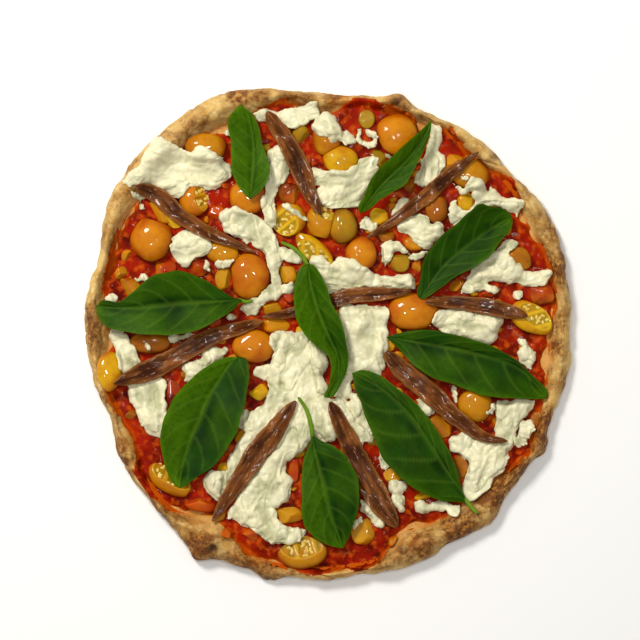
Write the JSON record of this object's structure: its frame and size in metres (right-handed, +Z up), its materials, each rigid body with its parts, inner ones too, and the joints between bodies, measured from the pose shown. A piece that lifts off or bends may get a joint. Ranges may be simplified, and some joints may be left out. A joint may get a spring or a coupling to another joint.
{
  "type": "margherita pizza with anchovies",
  "caption": "Round hand-stretched pizza with a puffed, toasted rim, tomato sauce, halved cherry tomatoes, torn fresh cheese, anchovy fillets and whole basil leaves",
  "frame": {"origin": "the middle of the flat underside, where the pizza stands on a surface", "axes": "+Z up out of the toppings, +X to the right and +Y to the top of the view from straight above"},
  "size_m": [0.2927, 0.2964, 0.0252],
  "materials": {
    "baked_dough": "baked wheat dough, dry and floury, pale gold with toasted brown and charred spots",
    "sauce": "wet crushed tomato sauce, bright red, glossy, lumpy, with small scraps of tomato and cheese",
    "tomato": "yellow and orange cherry tomato halves, wet thin skin over translucent flesh",
    "fresh_cheese": "torn fresh cream cheese curd, soft, stringy and moist, warm white",
    "cured_fish": "oily cured anchovy fillet, red brown with long fibres",
    "basil": "fresh basil leaf, satin green with a sunken midrib and veins"
  },
  "bodies": {
    "root": {"crust": "baked_dough", "tomato_sauce": "sauce", "tomato_1": "tomato", "tomato_2": "tomato", "tomato_3": "tomato", "tomato_4": "tomato", "tomato_5": "tomato", "tomato_6": "tomato", "tomato_7": "tomato", "tomato_8": "tomato", "tomato_9": "tomato", "tomato_10": "tomato", "tomato_11": "tomato", "tomato_12": "tomato", "tomato_13": "tomato", "tomato_14": "tomato", "tomato_15": "tomato", "tomato_16": "tomato", "tomato_17": "tomato", "tomato_18": "tomato", "tomato_19": "tomato", "tomato_20": "tomato", "tomato_21": "tomato", "tomato_22": "tomato", "tomato_23": "tomato", "tomato_24": "tomato", "cheese_upper_left": "fresh_cheese", "cheese_left": "fresh_cheese", "cheese_upper_middle": "fresh_cheese", "cheese_top": "fresh_cheese", "cheese_by_top_leaf": "fresh_cheese", "cheese_under_tip": "fresh_cheese", "cheese_upper_right": "fresh_cheese", "cheese_right_ring": "fresh_cheese", "cheese_right_lump": "fresh_cheese", "cheese_band": "fresh_cheese", "cheese_middle": "fresh_cheese", "cheese_right": "fresh_cheese", "cheese_right_of_middle": "fresh_cheese", "cheese_lower_left": "fresh_cheese", "cheese_far_left": "fresh_cheese", "cheese_lower_right": "fresh_cheese", "anchovy_1": "cured_fish", "anchovy_2": "cured_fish", "anchovy_3": "cured_fish", "anchovy_4": "cured_fish", "anchovy_5": "cured_fish", "anchovy_6": "cured_fish", "anchovy_7": "cured_fish", "anchovy_8": "cured_fish", "anchovy_9": "cured_fish", "basil_1": "basil", "basil_2": "basil", "basil_3": "basil", "basil_4": "basil", "basil_5": "basil", "basil_6": "basil", "basil_7": "basil", "basil_8": "basil", "basil_9": "basil"}
  },
  "joints": []
}
